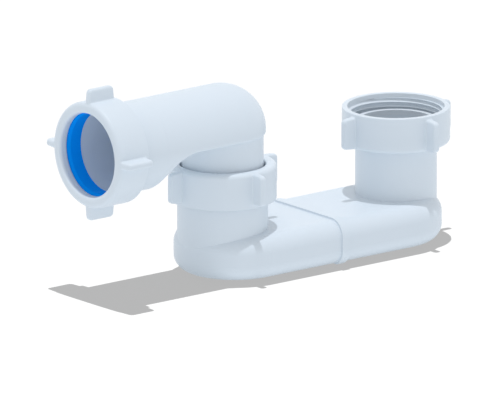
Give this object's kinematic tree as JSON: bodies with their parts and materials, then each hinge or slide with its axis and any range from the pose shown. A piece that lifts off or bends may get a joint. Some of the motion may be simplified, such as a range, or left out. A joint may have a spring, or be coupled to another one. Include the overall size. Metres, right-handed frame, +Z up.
{
  "type": "bath trap",
  "caption": "Low-level bath trap: flat obround water-seal body with an inlet union nut, a riser and a swivel outlet bend with compression nuts.",
  "frame": {"origin": "on the inlet tube's axis, in the plane of the flat base", "axes": "+Z up along the inlet tube, +X from the outlet towards the inlet end, so the riser and the outlet lie towards -X"},
  "size_m": [0.229, 0.0674, 0.1066],
  "materials": {
    "body_plastic": "satin white polypropylene",
    "nut_plastic": "satin white polypropylene",
    "washer_plastic": "satin polyethylene",
    "ring_plastic": "satin polyethylene",
    "seal_rubber": "smooth blue sealing rubber"
  },
  "bodies": {
    "trap": {"trap_inlet_half": "body_plastic", "trap_outlet_half": "body_plastic", "inlet_washer": "washer_plastic", "riser_seal": "seal_rubber"},
    "inlet_nut": {"inlet_nut": "nut_plastic"},
    "riser_ring": {"riser_slip_ring": "ring_plastic"},
    "riser_nut": {"riser_nut": "nut_plastic"},
    "bend": {"outlet_bend": "body_plastic", "outlet_seal": "seal_rubber"},
    "outlet_ring": {"outlet_slip_ring": "ring_plastic"},
    "outlet_nut": {"outlet_nut": "nut_plastic"}
  },
  "joints": [
    {"name": "inlet_nut_turn", "type": "hinge", "parent": "trap", "child": "inlet_nut", "pos_m": [0, 0, 0.057], "axis": [0, 0, 1], "continuous": true},
    {"name": "riser_ring_slide", "type": "slide", "parent": "trap", "child": "riser_ring", "axis": [0, 0, 1], "range_m": [-0.00028, 0.00694]},
    {"name": "riser_nut_turn", "type": "hinge", "parent": "riser_ring", "child": "riser_nut", "pos_m": [-0.1096, 0, 0.046], "axis": [0, 0, 1], "range_deg": [-43.5, 1080]},
    {"name": "bend_swivel", "type": "hinge", "parent": "trap", "child": "bend", "pos_m": [-0.1096, 0, 0.05], "axis": [0, 0, 1], "range_deg": [-138, 138]},
    {"name": "outlet_ring_slide", "type": "slide", "parent": "bend", "child": "outlet_ring", "axis": [-1, 0, 0], "range_m": [-0.00028, 0.00694]},
    {"name": "outlet_nut_turn", "type": "hinge", "parent": "outlet_ring", "child": "outlet_nut", "pos_m": [-0.1866, 0, 0.0729], "axis": [-1, 0, 0], "range_deg": [-43.5, 1080]}
  ],
  "couplings": [
    {"joint": "riser_ring_slide", "follows": "riser_nut_turn", "m_per_rad": 0.00036749},
    {"joint": "outlet_ring_slide", "follows": "outlet_nut_turn", "m_per_rad": 0.00036749}
  ]
}
